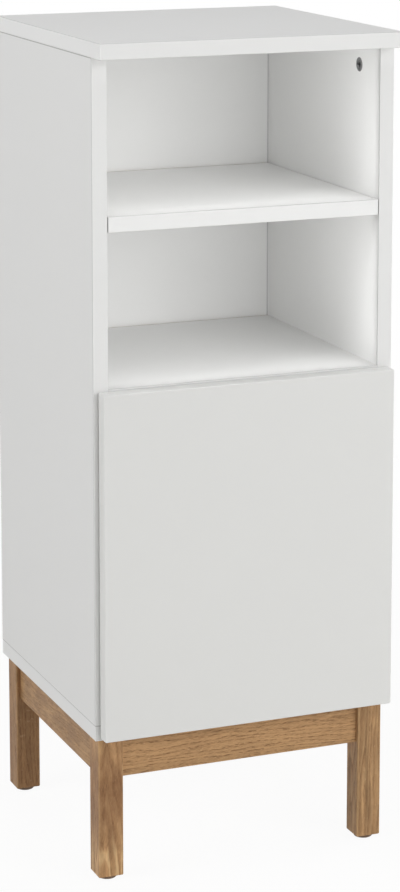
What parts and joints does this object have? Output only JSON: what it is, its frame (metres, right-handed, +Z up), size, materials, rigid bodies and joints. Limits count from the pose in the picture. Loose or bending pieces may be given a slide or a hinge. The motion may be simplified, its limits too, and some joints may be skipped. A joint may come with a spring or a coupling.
{
  "type": "single-door cabinet",
  "caption": "Narrow white bathroom cabinet on an oak leg frame, with open shelves above a handle-less push-to-open hinged door.",
  "frame": {"origin": "on the ground under the middle of the top panel", "axes": "+Z up, +Y towards the back of the cabinet, +X towards its hinge side, the right as seen from the front"},
  "size_m": [0.33, 0.33, 0.87],
  "materials": {
    "white_board": "white melamine-faced chipboard, fine pearl texture",
    "edging": "white edging strip, satin",
    "back_board": "thin fibreboard, painted white on its inner face and bare behind",
    "door_lacquer": "satin white lacquer on fibreboard",
    "cam_metal": "dull grey die-cast zinc",
    "zinc_steel": "bright zinc plating",
    "nickel_steel": "nickel-plated pressed steel",
    "oak": "oiled solid oak with open grain",
    "dowel_wood": "plain beech",
    "grey_plastic": "moulded light grey plastic",
    "magnet": "dark grey magnet",
    "glide_plastic": "brown moulded plastic"
  },
  "bodies": {
    "cabinet": {"top_panel": "white_board", "bottom_panel": "white_board", "left_side_panel": "white_board", "right_side_panel": "white_board", "fixed_shelf": "white_board", "open_shelf": "white_board", "inner_shelf": "white_board", "top_edge_band": "edging", "bottom_edge_band": "edging", "left_side_edge_band": "edging", "right_side_edge_band": "edging", "fixed_shelf_edge_band": "edging", "open_shelf_edge_band": "edging", "inner_shelf_edge_band": "edging", "back_panel": "back_board", "top_cam_discs": "cam_metal", "base_cam_discs": "cam_metal", "shelf_cam_discs": "cam_metal", "top_cam_bolts": "zinc_steel", "base_cam_bolts": "zinc_steel", "shelf_cam_bolts": "zinc_steel", "front_left_leg": "oak", "front_right_leg": "oak", "back_left_leg": "oak", "back_right_leg": "oak", "front_apron": "oak", "back_apron": "oak", "left_apron": "oak", "right_apron": "oak", "carcass_dowels": "dowel_wood", "apron_dowels": "dowel_wood", "open_shelf_pins": "nickel_steel", "inner_shelf_pins": "nickel_steel", "upper_hinge_arm": "nickel_steel", "lower_hinge_arm": "nickel_steel", "upper_hinge_plate": "nickel_steel", "lower_hinge_plate": "nickel_steel", "hinge_plate_screws": "zinc_steel", "hinge_arm_screws": "zinc_steel", "latch_screws": "zinc_steel", "frame_screws": "zinc_steel", "latch_spring": "zinc_steel", "latch_housing": "grey_plastic", "glides": "glide_plastic"},
    "door": {"door_panel": "door_lacquer", "upper_hinge_tray": "nickel_steel", "lower_hinge_tray": "nickel_steel", "upper_hinge_pin": "zinc_steel", "lower_hinge_pin": "zinc_steel", "hinge_tray_screws": "zinc_steel", "strike_plate": "nickel_steel", "strike_screws": "zinc_steel"},
    "plunger": {"latch_plunger": "grey_plastic", "latch_magnet": "magnet"}
  },
  "joints": [
    {"name": "door_swing", "type": "hinge", "parent": "cabinet", "child": "door", "pos_m": [0.1545, -0.1495, 0.338], "axis": [0, 0, 1], "range_deg": [0, 100]},
    {"name": "plunger_slide", "type": "slide", "parent": "cabinet", "child": "plunger", "axis": [0, -1, 0], "range_m": [0, 0.02]}
  ],
  "couplings": [
    {"joint": "plunger_slide", "follows": "door_swing", "m_per_rad": 0.011448}
  ]
}
